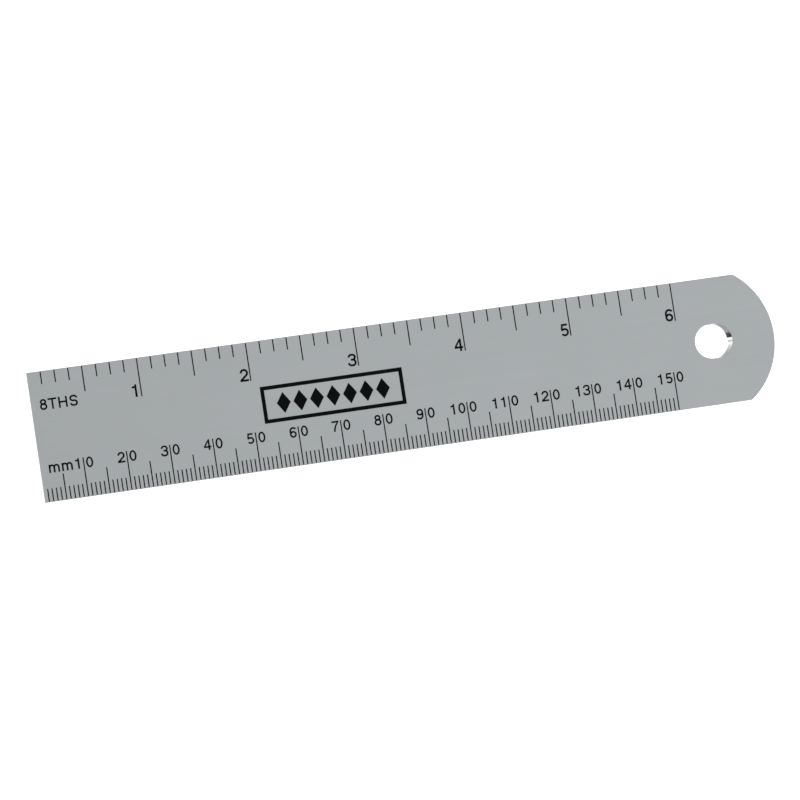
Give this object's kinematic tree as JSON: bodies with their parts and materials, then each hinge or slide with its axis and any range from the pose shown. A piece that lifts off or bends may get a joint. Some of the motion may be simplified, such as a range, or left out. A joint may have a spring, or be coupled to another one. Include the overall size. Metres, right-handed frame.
{
  "type": "steel ruler",
  "caption": "Flat steel ruler with etched, black-filled inch and millimetre scales, a round hanging hole and a rounded end.",
  "frame": {"origin": "centre of the bounding box at the back face", "axes": "+X from the zero end to the rounded end, +Y towards the inch scale, +Z out of the marked face"},
  "size_m": [0.1756, 0.03, 0.0012],
  "materials": {
    "steel": "matte",
    "marking": "matte"
  },
  "bodies": {
    "root": {"blade": "steel", "eighths_label": "marking", "inch_eighth_marks": "marking", "inch_half_marks": "marking", "inch_numeral_1": "marking", "inch_numeral_2": "marking", "inch_numeral_3": "marking", "inch_numeral_4": "marking", "inch_numeral_5": "marking", "inch_numeral_6": "marking", "inch_whole_marks": "marking", "mm_five_marks": "marking", "mm_label": "marking", "mm_numeral_10": "marking", "mm_numeral_100": "marking", "mm_numeral_110": "marking", "mm_numeral_120": "marking", "mm_numeral_130": "marking", "mm_numeral_140": "marking", "mm_numeral_150": "marking", "mm_numeral_20": "marking", "mm_numeral_30": "marking", "mm_numeral_40": "marking", "mm_numeral_50": "marking", "mm_numeral_60": "marking", "mm_numeral_70": "marking", "mm_numeral_80": "marking", "mm_numeral_90": "marking", "mm_ten_marks": "marking", "mm_unit_marks": "marking", "panel_diamonds": "marking", "panel_frame": "marking"}
  },
  "joints": []
}
